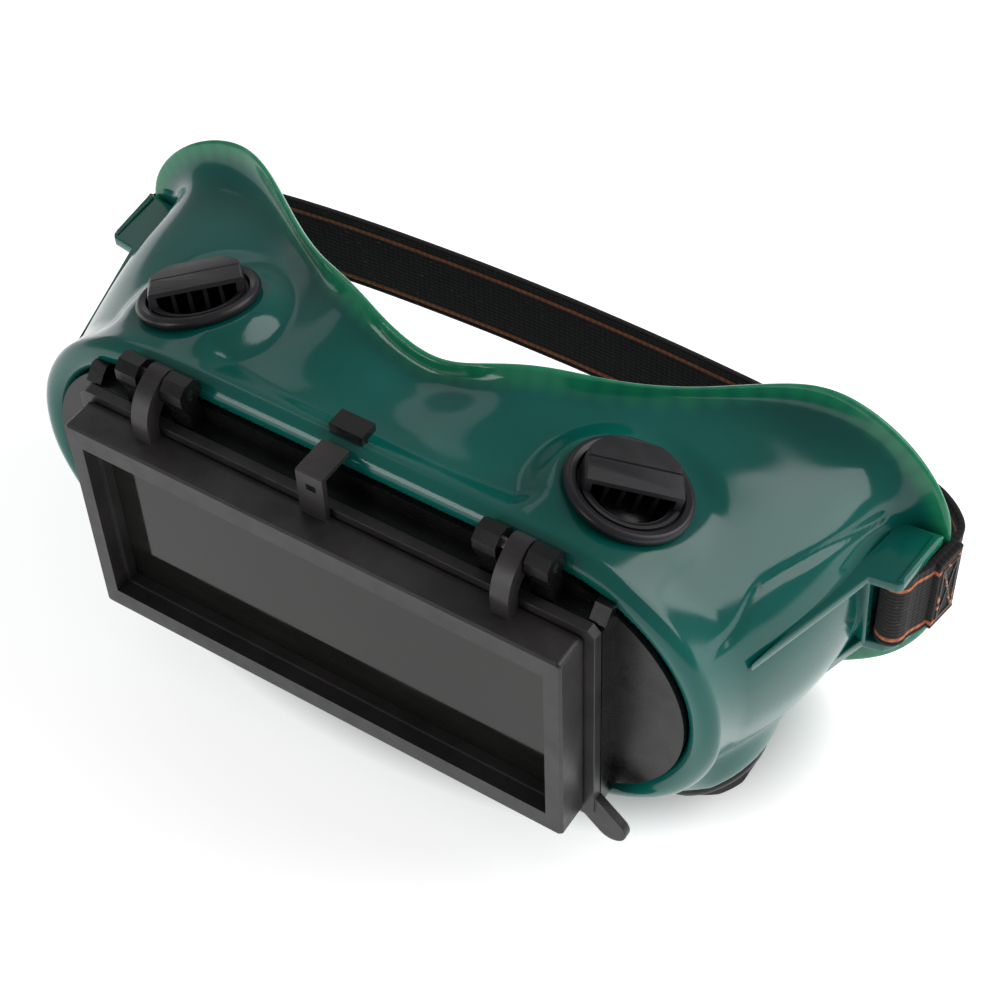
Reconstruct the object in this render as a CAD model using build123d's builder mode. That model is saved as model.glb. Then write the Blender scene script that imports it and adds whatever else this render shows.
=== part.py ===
from build123d import *
import math
import os

os.makedirs("parts", exist_ok=True)

# Flip-front welding goggles. X runs across the face, Y runs from the front back toward the face,
# Z is up. The origin is the middle of the flip frame's front face.

# ---- driving dimensions (mm) ----
LENS_W, LENS_H = 107.6, 50.4        # standard 2 x 4 1/4 in lens, with moulding tolerance
SHADE_T, CLEAR_T = 3.0, 2.0
POCKET_W, POCKET_H = 108.2, 51.0    # lens pockets
FLIP_W, FLIP_H = 114.0, 54.5        # flip bezel, outside
FLIP_DEPTH = 7.6
WINDOW_W, WINDOW_H = 106.4, 43.8    # window in the front of the bezel
PLATE_W, PLATE_H = 118.6, 58.2      # flip back plate
PLATE_Y0, PLATE_Y1 = 8.0, 10.4
CARRIER_Y0 = 10.8                   # front of the fixed carrier
SEAT_Y = 14.6                       # front of the carrier's oval plate
HINGE_Y, HINGE_Z = 11.9, 37.5       # flip hinge axis, along X
HINGE_X = 41.0                      # middle of each hinge
PIN_R = 1.2
RUN_GAP = 0.05                      # radial running clearance on the pins
LIP_HALF, LIP_MID_Z, LIP_Y = 44.0, 1.5, 18.0   # oval lip: half its straight length, middle, depth
LIP_R, BEAD_R = 33.5, 3.2           # lip centre line radius and bead radius
WALL = 1.8                          # mask wall
BARREL_R = 30.1                     # carrier barrel that fits the lip
STRAP_H, STRAP_T = 20.0, 1.3
LUG_GAP, LUG_PLATE = 21.0, 2.5      # strap lug: clear height, plate thickness
BAR_X, BAR_Y, BAR_R = 93.3, 65.0, 1.5
VENT_TOP = (49.6, 35.6, 34.8)       # middle of a top vent, on the mask wall
VENT_LOW = (68.0, 39.5, -36.0)      # middle of a lower vent
VENT_TOP_LEAN, VENT_LOW_LEAN = 15.0, 32.0           # outward from straight up, or straight down
VENT_TOP_TILT = 10.0                # backward
SEAT_R, HOOD_R, BORE_R = 12.8, 10.0, 9.2


BACK = (0, 1, 0)


def oval(radius, y):
    """Filled oval of the lip's shape in the plane at depth y."""
    with BuildSketch(Plane.XZ.offset(-y)) as face:
        with Locations((0, LIP_MID_Z)):
            SlotOverall(2 * (LIP_HALF + radius), 2 * radius)
    return face.sketch


def panel(width, height, y, corner=0.0):
    """Filled rectangle, centred on the lens axis, in the plane at depth y."""
    with BuildSketch(Plane.XZ.offset(-y)) as face:
        if corner:
            RectangleRounded(width, height, corner)
        else:
            Rectangle(width, height)
    return face.sketch


# ---- mask body: lofted wall, bead lip, face flange, vent bosses, strap lugs ----
# Right half of the two outlines that shape the mask, from the top middle to the bottom middle.
RIM = [
    (0, 44.5, 36.0), (11, 45.3, 39.0), (22, 49.1, 40.4), (34, 55.0, 38.2), (47, 63.3, 36.0),
    (60, 72.0, 36.2), (72, 76.5, 35.6), (85, 77.3, 29.8), (94, 76.8, 21.0), (97.6, 76.2, 11.0),
    (97.6, 76.0, -2.0), (97.2, 76.0, -15.0), (91, 76.0, -29.0), (80.7, 75.0, -38.0),
    (68, 72.0, -43.5), (54, 65.0, -45.5), (40, 58.0, -43.0), (28, 52.0, -36.0),
    (19, 48.0, -26.5), (10, 46.0, -20.0), (0, 45.3, -18.0),
]
ROOT = [
    (0, 42.5, 33.0), (10.5, 43.0, 35.3), (21, 45.2, 37.6), (32, 52.0, 35.3), (45, 60.0, 33.3),
    (57, 67.5, 31.3), (68, 71.5, 29.0), (78.5, 72.0, 26.0), (85.5, 72.0, 20.5),
    (89, 71.5, 11.0), (90, 71.5, -1.0), (88.5, 71.5, -13.0), (83, 71.5, -24.5),
    (74, 70.5, -32.5), (63, 67.0, -37.0), (50, 60.5, -38.5), (38, 54.5, -37.0),
    (27, 49.0, -31.5), (18, 45.5, -24.0), (9.5, 43.5, -18.0), (0, 43.0, -16.2),
]
TOP_STEPS = [0, 10, 20, 30, 38]
ARC_STEPS = [12, 28, 45, 62, 77, 92, 107, 125, 142, 158, 172]
LOW_STEPS = [38, 29, 20, 10, 0]


def lip_outline(radius, y):
    """Right half of an oval outline, sampled to match the rim stations."""
    top = [(x, y, LIP_MID_Z + radius) for x in TOP_STEPS]
    arc = [
        (
            LIP_HALF + radius * math.sin(math.radians(a)),
            y,
            LIP_MID_Z + radius * math.cos(math.radians(a)),
        )
        for a in ARC_STEPS
    ]
    low = [(x, y, LIP_MID_Z - radius) for x in LOW_STEPS]
    return top + arc + low


def between(first, second, share, sag, bulge, cheek):
    """Outline part way between two others: top sags, sides and cheeks bulge, nose rises late."""
    out = []
    for a, b in zip(first, second):
        x, y = (a[i] + (b[i] - a[i]) * share for i in (0, 1))
        if a[2] > 0:
            z = a[2] + (b[2] - a[2]) * share - sag * min(1.0, a[2] / 25.0)
        else:
            late = 2.0 - max(0.0, min(1.0, (x - 25) / 20))
            z = a[2] + (b[2] - a[2]) * share**late
            puff = cheek * math.exp(-(((x - 66) / 13) ** 2))
            x, z = x + 0.5 * puff, z - 0.87 * puff
        out.append((x + bulge * max(0.0, min(1.0, (x - 60) / 20)), y, z))
    return out


def inset(half, depth, back=0.0):
    """Outline moved inward in its own XZ shape, and back along Y."""
    out, last = [], len(half) - 1
    for i, (x, y, z) in enumerate(half):
        before, after = half[max(i - 1, 0)], half[min(i + 1, last)]
        run, rise = after[0] - before[0], after[2] - before[2]
        if i in (0, last):
            rise = 0.0
        size = math.hypot(run, rise)
        x_in = 0.0 if i in (0, last) else x + rise / size * depth
        out.append((x_in, y + back, z - run / size * depth))
    return out


def closed_curve(half):
    """Closed smooth curve through a right half outline and its mirror image."""
    full = half + [(-x, y, z) for x, y, z in reversed(half[1:-1])]
    with BuildLine() as curve:
        Spline(*full, periodic=True)
    return curve.wire()


def mask_wall():
    """Thin wall from the lip back to the flared rim of the face flange."""
    neck = lip_outline(34.8, 20.0)
    front, rear = between(neck, ROOT, 0.35, 1.2, 1.9, 3.6), between(neck, ROOT, 0.7, 0.8, 1.5, 3.0)
    outer = [neck, front, rear, ROOT, RIM]
    inner = [inset(line, WALL) for line in outer[:3]]
    inner += [inset(ROOT, WALL, 1.0), inset(RIM, 0.8, 1.6)]
    outside = [closed_curve(line) for line in outer]
    inside = [closed_curve(line) for line in inner]
    faces = Shell.make_loft(outside).faces() + Shell.make_loft(inside).faces()
    faces += Shell.make_loft([outside[0], inside[0]], ruled=True).faces()
    faces += Shell.make_loft([outside[-1], inside[-1]], ruled=True).faces()
    return Solid(Shell(faces))


def vent_place(top, side, turn=0.0):
    """Place of a vent on the mask: its axis out of the wall, turned about that axis."""
    x, y, z = VENT_TOP if top else VENT_LOW
    lean = VENT_TOP_LEAN if top else 180.0 - VENT_LOW_LEAN
    tilt = VENT_TOP_TILT if top else 0.0
    spot = Location((side * x, y, z), (-tilt, 0, 0)) * Location((0, 0, 0), (0, side * lean, 0))
    return spot * Location((0, 0, 0), (0, 0, turn))


VENTS = [(True, 1), (True, -1), (False, 1), (False, -1)]

LUG_TOP = [
    (80.6, 30.0), (90.2, 58.2), (95.4, 59.0), (96.2, 60.0), (97.6, 74.6), (88.8, 73.8),
    (86.6, 60.0), (80.6, 30.0),
]
LUG_LOW = [
    (82.6, 38.0), (89.8, 61.4), (93.4, 62.4), (95.2, 64.8), (98.0, 75.0), (88.8, 73.8),
    (86.6, 60.0), (82.6, 38.0),
]

with BuildPart() as lug:
    for outline, low in ((LUG_TOP, LUG_GAP / 2), (LUG_LOW, -LUG_GAP / 2 - LUG_PLATE)):
        with BuildSketch(Plane.XY.offset(low)):
            with BuildLine():
                Polyline(*outline)
            make_face()
        extrude(amount=LUG_PLATE)
    with BuildSketch(Plane.YZ.offset(87.2)):                        # leaning web at the front
        with BuildLine():
            Polyline((58.9, 11.5), (61.1, 11.5), (63.4, -11.5), (61.2, -11.5), (58.9, 11.5))
        make_face()
    extrude(amount=2.6)
    with Locations((BAR_X, BAR_Y, 0)):
        Cylinder(BAR_R, LUG_GAP + 1)

with BuildPart() as bead:
    with BuildSketch(Plane((0, LIP_Y, LIP_MID_Z + LIP_R), x_dir=(0, 1, 0), z_dir=(1, 0, 0))):
        Circle(BEAD_R)
    sweep(path=oval(LIP_R, LIP_Y).face().outer_wire())
    with Locations((-0.5, 16.5, 36.0)):        # notch for the carrier's key tab
        Box(8.6, 6.2, 9.4, mode=Mode.SUBTRACT)

with BuildPart() as mask_body:
    add(mask_wall())
    add(bead.part)
    add(lug.part)
    add(mirror(lug.part, about=Plane.YZ))
    for top, side in VENTS:
        with Locations(vent_place(top, side)):
            Cylinder(14.0, 3.0 if top else 4.5, align=(Align.CENTER, Align.CENTER, Align.MAX))
    for top, side in VENTS:
        with Locations(vent_place(top, side)):
            Cylinder(13.4, 6.0, align=(Align.CENTER, Align.CENTER, Align.MIN), mode=Mode.SUBTRACT)
            Cylinder(BORE_R + 1.2, 30.0, mode=Mode.SUBTRACT)
        with Locations(vent_place(top, side) * Location((0, 0, -3.05))):
            Cylinder(BORE_R + 2.3, 6.0, align=(Align.CENTER, Align.CENTER, Align.MAX),
                     mode=Mode.SUBTRACT)
mask_body.part.label = "mask_body"
export_step(mask_body.part, "parts/mask_body.step")


# ---- vents: a seat pressed in the wall, and a hood that turns in it ----
ROOF_Z = 5.2                                       # top of the hood above the seat's foot
STRIP_Y0, STRIP_Y1 = -3.1, 2.6                     # level strip of the roof, from mouth to crease
FLANGE_Z = 1.35                                    # foot of the hood's skirt
PLATE_Z = -3.2                                     # plate across the spigot


def vent_seat():
    """Seat ring with a rounded rim, a plug through the wall and a catch behind it."""
    with BuildPart() as seat:
        with BuildSketch(Plane.XZ):
            with BuildLine():
                inner = Polyline(
                    (HOOD_R + 0.6, 2.1), (HOOD_R + 0.2, 1.2), (BORE_R, 1.2), (BORE_R, -4.2),
                    (BORE_R + 1.9, -4.2), (BORE_R + 1.1, -3.1), (BORE_R + 1.1, 0.1),
                    (SEAT_R - 0.6, 0.1),
                )
                round_rim = ThreePointArc(inner @ 1, (SEAT_R, 1.2), (SEAT_R - 1.0, 2.4))
                Line(round_rim @ 1, inner @ 0)
            make_face()
        revolve(axis=Axis.Z)
    return seat.part


def vent_hood():
    """Hood: round cap with a creased roof, open at its front over a deep cup, ribs in its mouth."""
    with BuildPart() as hood:
        with Locations((0, 0, FLANGE_Z)):
            Cylinder(HOOD_R, 6, align=(Align.CENTER, Align.CENTER, Align.MIN))
        with BuildSketch(Plane.XZ):                                 # rounded shoulders
            with Locations((0, ROOF_Z / 2 - 3)):
                RectangleRounded(2 * HOOD_R - 0.6, ROOF_Z + 6, 1.3)
        extrude(amount=12, both=True, mode=Mode.INTERSECT)
        with BuildSketch(Plane.YZ):                                 # creased roof, front cut away
            with BuildLine():
                Polyline(
                    (-12, FLANGE_Z + 0.6), (STRIP_Y0 - 0.5, FLANGE_Z + 0.6), (STRIP_Y0, ROOF_Z - 0.4),
                    (STRIP_Y1 - 0.25, ROOF_Z), (STRIP_Y1, ROOF_Z - 0.35), (STRIP_Y1 + 0.25, ROOF_Z),
                    (8.6, ROOF_Z - 0.2), (HOOD_R + 0.1, ROOF_Z - 1.0), (12, ROOF_Z - 1.0), (12, 12),
                    (-12, 12), (-12, FLANGE_Z + 0.6),
                )
            make_face()
        extrude(amount=12, both=True, mode=Mode.SUBTRACT)
        with BuildSketch(Plane.XZ):                                 # cup under the roof
            with BuildLine():
                Polyline((0, 0), (8.2, 0), (8.2, FLANGE_Z), (HOOD_R - 0.7, FLANGE_Z + 0.6),
                         (HOOD_R - 1.3, FLANGE_Z + 0.7), (HOOD_R - 1.3, ROOF_Z - 1.3), (0, ROOF_Z - 1.3),
                         (0, 0))
            make_face()
        revolve(axis=Axis.Z, mode=Mode.SUBTRACT)
        # spigot in the seat, with its snap ring below
        with BuildSketch(Plane.XZ):
            with BuildLine():
                Polyline((BORE_R - 0.15, FLANGE_Z + 0.1), (BORE_R - 0.15, -4.4), (BORE_R + 0.5, -4.5),
                         (BORE_R + 0.5, -4.8), (BORE_R - 0.15, -5.3), (8.0, -5.3), (8.0, PLATE_Z - 1),
                         (0, PLATE_Z - 1), (0, PLATE_Z), (8.2, PLATE_Z), (8.2, FLANGE_Z + 0.1),
                         (BORE_R - 0.15, FLANGE_Z + 0.1))
            make_face()
        revolve(axis=Axis.Z)
        with Locations((-2.6, 5.0, PLATE_Z - 0.5), (2.6, 5.0, PLATE_Z - 0.5)):      # air ways
            Box(4.0, 3.0, 2.0, mode=Mode.SUBTRACT)
        with Locations(*[(x, STRIP_Y0 + 1.2, PLATE_Z - 0.2) for x in (-4.8, -1.6, 1.6, 4.8)]):
            Box(0.8, 1.2, ROOF_Z - PLATE_Z - 0.8, align=(Align.CENTER, Align.CENTER, Align.MIN))
    return hood.part


TURNS = {(True, 1): 32.5, (True, -1): 40.5, (False, 1): 180.0, (False, -1): 180.0}

for top, side in VENTS:
    place = ("top" if top else "low") + ("_left" if side > 0 else "_right")
    with BuildPart() as vent_seat_part:
        add(vent_place(top, side) * vent_seat())
    vent_seat_part.part.label = f"vent_seat_{place}"
    export_step(vent_seat_part.part, f"parts/vent_seat_{place}.step")
    with BuildPart() as vent_hood_part:
        add(vent_place(top, side, TURNS[top, side]) * vent_hood())
    vent_hood_part.part.label = f"vent_hood_{place}"
    export_step(vent_hood_part.part, f"parts/vent_hood_{place}.step")


# ---- lens carrier, fixed in the lip: oval plate, barrel, lens well, front box, knuckles, key tab ----
KNUCKLE_W, KNUCKLE_GAP, KNUCKLE_R = 5.0, 6.0, 3.0

with BuildPart() as lens_carrier:
    # barrel through the lip
    extrude(oval(BARREL_R, SEAT_Y), amount=7.8, dir=BACK)
    # front shoulder
    extrude(oval(30.6, SEAT_Y), amount=1.2, dir=BACK)
    # catch flange behind the bead
    extrude(oval(31.4, 21.2), amount=1.2, dir=BACK)
    with BuildSketch(Plane.XZ.offset(-17.2)):                       # hollow round the lens well
        with Locations((0, LIP_MID_Z)):
            SlotOverall(2 * (LIP_HALF + BARREL_R - 1.8), 2 * (BARREL_R - 1.8))
        Rectangle(POCKET_W + 4, POCKET_H + 1.4, mode=Mode.SUBTRACT)
    extrude(amount=-12, mode=Mode.SUBTRACT)
    # front box
    extrude(panel(118.4, 57.0, CARRIER_Y0, 1.0), amount=SEAT_Y + 0.1 - CARRIER_Y0, dir=BACK)
    # clear lens pocket
    extrude(panel(POCKET_W, POCKET_H, 17.2), amount=12, dir=BACK, mode=Mode.SUBTRACT)
    # window
    extrude(panel(104.0, 46.4, CARRIER_Y0 - 1), amount=20, dir=BACK, mode=Mode.SUBTRACT)
    for side in (1, -1):                                            # end ribs with sloping fronts
        with BuildSketch(Plane.YZ.offset(side * 58.0)):
            with BuildLine():
                Polyline((CARRIER_Y0, 27.5), (CARRIER_Y0, 28.6), (13.2, 31.4), (14.6, 31.4),
                         (14.6, 25.5), (CARRIER_Y0, 27.5))
            make_face()
        extrude(amount=1.75, both=True)
    for side in (1, -1):                                            # hinge knuckles
        for step in (1, -1):
            x = side * HINGE_X + step * (KNUCKLE_GAP + KNUCKLE_W) / 2
            with BuildSketch(Plane.YZ.offset(x)):
                with Locations((HINGE_Y, HINGE_Z)):
                    RegularPolygon(KNUCKLE_R, 8, major_radius=False, rotation=22.5)
                with BuildLine():
                    Polyline((CARRIER_Y0, 27.5), (CARRIER_Y0, 32.0), (HINGE_Y - 3.0, HINGE_Z - 1.4),
                             (HINGE_Y + 1.8, HINGE_Z - 2.6), (14.4, 30.6), (14.4, 27.5),
                             (CARRIER_Y0, 27.5))
                make_face()
            extrude(amount=KNUCKLE_W / 2, both=True)
    with Locations((-0.5, 18.3, 30.6)):                             # key tab hooked over the lip
        Box(7.6, 1.7, 9.9, align=(Align.CENTER, Align.CENTER, Align.MIN))
    with Locations((-0.5, 17.45, 38.6)):
        Box(7.6, 4.4, 1.9, align=(Align.CENTER, Align.MIN, Align.MIN))
    with Locations((0, HINGE_Y, HINGE_Z)):                          # pin holes
        Cylinder(PIN_R + 0.01, 110, rotation=(0, 90, 0), mode=Mode.SUBTRACT)
lens_carrier.part.label = "lens_carrier"
export_step(lens_carrier.part, "parts/lens_carrier.step")

with BuildPart() as clear_lens:
    extrude(panel(LENS_W, LENS_H, 17.2), amount=CLEAR_T, dir=BACK)
clear_lens.part.label = "clear_lens"
export_step(clear_lens.part, "parts/clear_lens.step")

with BuildPart() as clear_lens_retainer:
    with BuildSketch(Plane.XZ.offset(-(17.2 + CLEAR_T))):
        Rectangle(LENS_W, LENS_H)
        Rectangle(103.0, 45.6, mode=Mode.SUBTRACT)
    extrude(amount=-2.0)
clear_lens_retainer.part.label = "clear_lens_retainer"
export_step(clear_lens_retainer.part, "parts/clear_lens_retainer.step")

# ---- hinge pins ----
PIN_LENGTH = KNUCKLE_GAP + 2 * KNUCKLE_W - 0.4

with BuildPart() as hinge_pin_left:
    with Locations((HINGE_X, HINGE_Y, HINGE_Z)):
        Cylinder(PIN_R, PIN_LENGTH, rotation=(0, 90, 0))
hinge_pin_left.part.label = "hinge_pin_left"
export_step(hinge_pin_left.part, "parts/hinge_pin_left.step")

with BuildPart() as hinge_pin_right:
    with Locations((-HINGE_X, HINGE_Y, HINGE_Z)):
        Cylinder(PIN_R, PIN_LENGTH, rotation=(0, 90, 0))
hinge_pin_right.part.label = "hinge_pin_right"
export_step(hinge_pin_right.part, "parts/hinge_pin_right.step")

# ---- flip bezel: front box with window, two hinge arms, stop bracket ----
ARM_W, ARM_SHIFT = 4.0, 0.5         # arms sit toward the wearer's left in their gaps

with BuildPart() as flip_bezel:
    extrude(panel(FLIP_W, FLIP_H, 0.0, 1.2), amount=FLIP_DEPTH, dir=BACK)
    chamfer(flip_bezel.edges().group_by(Axis.Y)[0], 0.5)
    extrude(panel(WINDOW_W, WINDOW_H, -1.0), amount=4.4, dir=BACK, mode=Mode.SUBTRACT)
    extrude(panel(WINDOW_W - 1.6, WINDOW_H - 1.0, 0.0), amount=12, dir=BACK, mode=Mode.SUBTRACT)
    extrude(panel(POCKET_W, POCKET_H, 5.8), amount=4, dir=BACK, mode=Mode.SUBTRACT)
    for side in (1, -1):
        with BuildSketch(Plane.YZ.offset(side * HINGE_X + ARM_SHIFT)):
            with BuildLine():
                foot = Line((7.5, 26.6), (4.4, 26.6))
                front = Line(foot @ 1, (4.4, 29.5))
                over = ThreePointArc(front @ 1, (6.3, 37.0), (HINGE_Y, HINGE_Z + 3.1))
                eye = ThreePointArc(over @ 1, (HINGE_Y + 3.1, HINGE_Z), (HINGE_Y, HINGE_Z - 3.1))
                under = ThreePointArc(eye @ 1, (8.7, 32.9), (7.5, 29.8))
                Line(under @ 1, foot @ 0)
            make_face()
        extrude(amount=ARM_W / 2, both=True)
    with BuildSketch(Plane.YZ.offset(-1.0)):                        # stop bracket
        with BuildLine():
            Polyline((6.1, 26.6), (6.1, 38.3), (6.5, 38.7), (15.0, 38.7), (15.0, 37.5),
                     (7.4, 37.5), (7.4, 26.6), (6.1, 26.6))
        make_face()
    extrude(amount=3.05, both=True)
    with Locations((-0.8, 6.8, 35.0)):
        Box(2.2, 4, 1.6, mode=Mode.SUBTRACT)
    with Locations(*[(side * HINGE_X + ARM_SHIFT, HINGE_Y, HINGE_Z) for side in (1, -1)]):
        Cylinder(PIN_R + RUN_GAP, ARM_W + 2, rotation=(0, 90, 0), mode=Mode.SUBTRACT)
flip_bezel.part.label = "flip_bezel"
export_step(flip_bezel.part, "parts/flip_bezel.step")

# ---- flip back plate with the lift tab ----
with BuildPart() as flip_back_plate:
    with BuildSketch(Plane.XZ.offset(-PLATE_Y0)) as plate_outline:
        Rectangle(PLATE_W, PLATE_H)
        chamfer(plate_outline.vertices(), 1.6)
    extrude(amount=-(PLATE_Y1 - PLATE_Y0))
    # locating step in the bezel's back
    extrude(panel(FLIP_W - 1.6, FLIP_H - 1.6, FLIP_DEPTH), amount=0.6, dir=BACK)
    with BuildSketch(Plane.XZ.offset(-(PLATE_Y0 + 0.5))):           # lift tab at the lower corner
        with Locations(Location((60.2, -28.4), -43)):
            SlotOverall(14.0, 7.0)
    extrude(amount=-(PLATE_Y1 - PLATE_Y0 - 0.5))
    # lens recess
    extrude(panel(POCKET_W, POCKET_H, FLIP_DEPTH - 1), amount=2.3, dir=BACK, mode=Mode.SUBTRACT)
    # window
    extrude(panel(104.0, 46.4, 0.0), amount=20, dir=BACK, mode=Mode.SUBTRACT)
flip_back_plate.part.label = "flip_back_plate"
export_step(flip_back_plate.part, "parts/flip_back_plate.step")

with BuildPart() as shade_lens:
    extrude(panel(LENS_W, LENS_H, 5.8), amount=SHADE_T, dir=BACK)
shade_lens.part.label = "shade_lens"
export_step(shade_lens.part, "parts/shade_lens.step")

# ---- headband: one elastic strap, each end passed round a lug's bar and sewn back on itself ----
LOOP_R = BAR_R + 0.4 + STRAP_T / 2
SEW_FROM, SEW_TO = (97.7, 70.2), (98.9, 77.8)      # straight run where the end is sewn down
SEW_RUN = math.dist(SEW_FROM, SEW_TO)
SEW_DIR = ((SEW_TO[0] - SEW_FROM[0]) / SEW_RUN, (SEW_TO[1] - SEW_FROM[1]) / SEW_RUN)
SEW_MIDDLE = Plane(
    origin=((SEW_FROM[0] + SEW_TO[0]) / 2, (SEW_FROM[1] + SEW_TO[1]) / 2, 0),
    x_dir=(SEW_DIR[0], SEW_DIR[1], 0),
    z_dir=(SEW_DIR[1], -SEW_DIR[0], 0),
)
FLAP_T = 1.2


def band_side(pieces, offset):
    """Points beside the strap's middle line, at the given offset from it."""
    side = []
    for piece in pieces:
        steps = max(5, round(piece.length / 3))
        for i in range(steps):
            at, run = piece @ (i / steps), piece % (i / steps)
            side.append((at.X - run.Y * offset, at.Y + run.X * offset))
    at, run = pieces[-1] @ 1, pieces[-1] % 1
    return side + [(at.X - run.Y * offset, at.Y + run.X * offset)]


with BuildPart() as headband:
    with BuildLine() as band_line:
        tail = Line((BAR_X - LOOP_R + 0.2, BAR_Y + 4.6), (BAR_X - LOOP_R, BAR_Y))
        loop = ThreePointArc(tail @ 1, (BAR_X, BAR_Y - LOOP_R), (BAR_X + LOOP_R, BAR_Y))
        rise = Spline(loop @ 1, SEW_FROM, tangents=((0, 1), SEW_DIR))
        sewn = Line(SEW_FROM, SEW_TO)
        sweep_back = Spline(SEW_TO, (98.8, 80.4), (97.1, 83.4), (91.5, 87.6), (82, 90.6), (70, 92.7),
                            (54, 94.4), (36, 95.6), (18, 96.35), (0, 96.6))
    run = [tail, loop, rise, sewn, sweep_back]
    with BuildSketch(Plane.XY):
        with BuildLine():
            one = Spline(*band_side(run, STRAP_T / 2))
            other = Spline(*band_side(run, -STRAP_T / 2))
            Line(one @ 0, other @ 0)
            Line(one @ 1, other @ 1)
        make_face()
    extrude(amount=STRAP_H / 2, both=True)
    with Locations(SEW_MIDDLE):
        with Locations((0, 0, STRAP_T / 2 - 0.02)):
            Box(SEW_RUN - 0.2, STRAP_H - 0.8, FLAP_T, align=(Align.CENTER, Align.CENTER, Align.MIN))
    mirror(about=Plane.YZ)
headband.part.label = "headband"
export_step(headband.part, "parts/headband.step")


def stitch():
    """Box of thread with a cross in it, lying on the sewn-down end."""
    long, tall = SEW_RUN - 2.2, STRAP_H - 5.0
    with BuildPart() as tack:
        with BuildSketch(SEW_MIDDLE.offset(STRAP_T / 2 - 0.02 + FLAP_T)):
            Rectangle(long, tall)
            Rectangle(long - 1.0, tall - 1.0, mode=Mode.SUBTRACT)
            for turn in (1, -1):
                with Locations(Location((0, 0), turn * math.degrees(math.atan2(tall - 1, long - 1)))):
                    Rectangle(math.hypot(long - 1, tall - 1), 0.5)
        extrude(amount=0.35)
    return tack.part


with BuildPart() as strap_stitch_left:
    add(stitch())
strap_stitch_left.part.label = "strap_stitch_left"
export_step(strap_stitch_left.part, "parts/strap_stitch_left.step")

with BuildPart() as strap_stitch_right:
    add(mirror(stitch(), about=Plane.YZ))
strap_stitch_right.part.label = "strap_stitch_right"
export_step(strap_stitch_right.part, "parts/strap_stitch_right.step")
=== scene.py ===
import math

import bmesh
import bpy
import numpy as np
from mathutils import Matrix, Vector


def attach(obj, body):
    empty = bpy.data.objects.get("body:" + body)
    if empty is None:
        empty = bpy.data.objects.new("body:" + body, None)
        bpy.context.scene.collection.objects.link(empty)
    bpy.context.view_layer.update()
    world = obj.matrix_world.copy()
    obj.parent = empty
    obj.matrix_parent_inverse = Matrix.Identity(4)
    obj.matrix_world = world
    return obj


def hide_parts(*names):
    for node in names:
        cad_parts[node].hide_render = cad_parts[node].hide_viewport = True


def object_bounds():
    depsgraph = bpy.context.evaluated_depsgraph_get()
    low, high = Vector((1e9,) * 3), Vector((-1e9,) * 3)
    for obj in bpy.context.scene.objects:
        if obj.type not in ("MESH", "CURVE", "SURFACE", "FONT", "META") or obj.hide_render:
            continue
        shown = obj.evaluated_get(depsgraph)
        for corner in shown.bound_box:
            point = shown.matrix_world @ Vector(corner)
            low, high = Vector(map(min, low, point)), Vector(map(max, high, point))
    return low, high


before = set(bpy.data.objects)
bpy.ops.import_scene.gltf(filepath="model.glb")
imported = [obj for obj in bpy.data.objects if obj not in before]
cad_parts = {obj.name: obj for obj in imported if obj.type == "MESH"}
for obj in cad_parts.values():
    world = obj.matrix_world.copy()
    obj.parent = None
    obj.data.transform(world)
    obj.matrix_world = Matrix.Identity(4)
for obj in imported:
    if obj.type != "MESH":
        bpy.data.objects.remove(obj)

CAD_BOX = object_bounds()
MM = 0.001
SIDES = (1, -1)                                      # the wearer's left is +X
PLACES = ("top_left", "top_right", "low_left", "low_right")   # of the vents, in vent_frames' order

# ---------------------------------------------------------------- camera
CAM_AZ, CAM_EL, CAM_ROLL = 34.5, 48.5, -2.4          # degrees
CAM_DIST, CAM_SHIFT = 430.0, (-36.6, -25.3)          # mm: depth and place of the origin in view
LENS_MM, SENSOR_MM = 79.5, 36.0
NEAR, FAR = 0.01, 20.0                               # m


def place_camera():
    az, el, roll = (math.radians(a) for a in (CAM_AZ, CAM_EL, CAM_ROLL))
    back = Vector((math.sin(az) * math.cos(el), -math.cos(az) * math.cos(el), math.sin(el)))
    right = Vector((0, 0, 1)).cross(back).normalized()
    up = back.cross(right)
    across = math.cos(roll) * right + math.sin(roll) * up
    upward = -math.sin(roll) * right + math.cos(roll) * up
    where = -(CAM_SHIFT[0] * across + CAM_SHIFT[1] * upward - CAM_DIST * back) * MM
    data = bpy.data.cameras.new("camera")
    data.lens, data.sensor_width = LENS_MM, SENSOR_MM
    data.clip_start, data.clip_end = NEAR, FAR
    camera = bpy.data.objects.new("camera", data)
    turn = Matrix((across, upward, back)).transposed().to_4x4()
    camera.matrix_world = Matrix.Translation(where) @ turn
    bpy.context.scene.collection.objects.link(camera)
    bpy.context.scene.camera = camera


place_camera()


# ---------------------------------------------------------------- materials
def srgb(r, g, b):
    """Linear colour of an 8-bit sRGB one."""
    return tuple(((c / 255 + 0.055) / 1.055) ** 2.4 if c > 10 else c / 255 / 12.92
                 for c in (r, g, b)) + (1.0,)


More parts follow.
